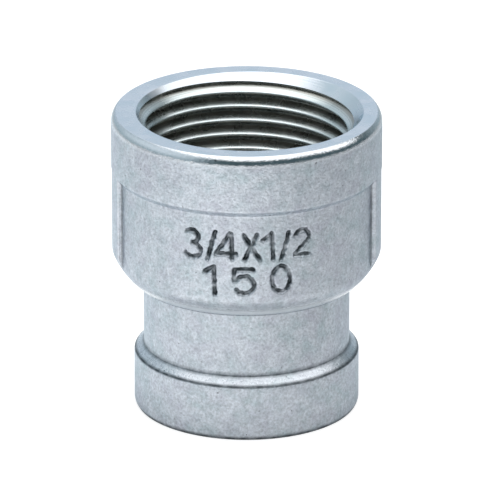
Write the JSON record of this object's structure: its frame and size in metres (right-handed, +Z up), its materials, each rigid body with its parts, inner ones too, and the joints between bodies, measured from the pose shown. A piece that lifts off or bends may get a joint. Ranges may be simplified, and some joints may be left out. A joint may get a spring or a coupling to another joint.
{
  "type": "reducing socket",
  "caption": "Banded reducing socket that joins a larger pipe to a smaller one through internal pipe threads, cast in stainless steel with lugs for a wrench.",
  "frame": {"origin": "centre of the foot face, the flat face of the small end on which it stands", "axes": "+Z runs up the common axis of both bores from the small end to the large end, +X points through the middle of a lug"},
  "size_m": [0.0324, 0.0324, 0.0371],
  "materials": {
    "cast_steel": "satin grey stainless steel, fine blasted casting skin outside, turned and brighter on the end faces, countersinks and threads"
  },
  "bodies": {
    "root": {"socket_body": "cast_steel"}
  },
  "joints": []
}
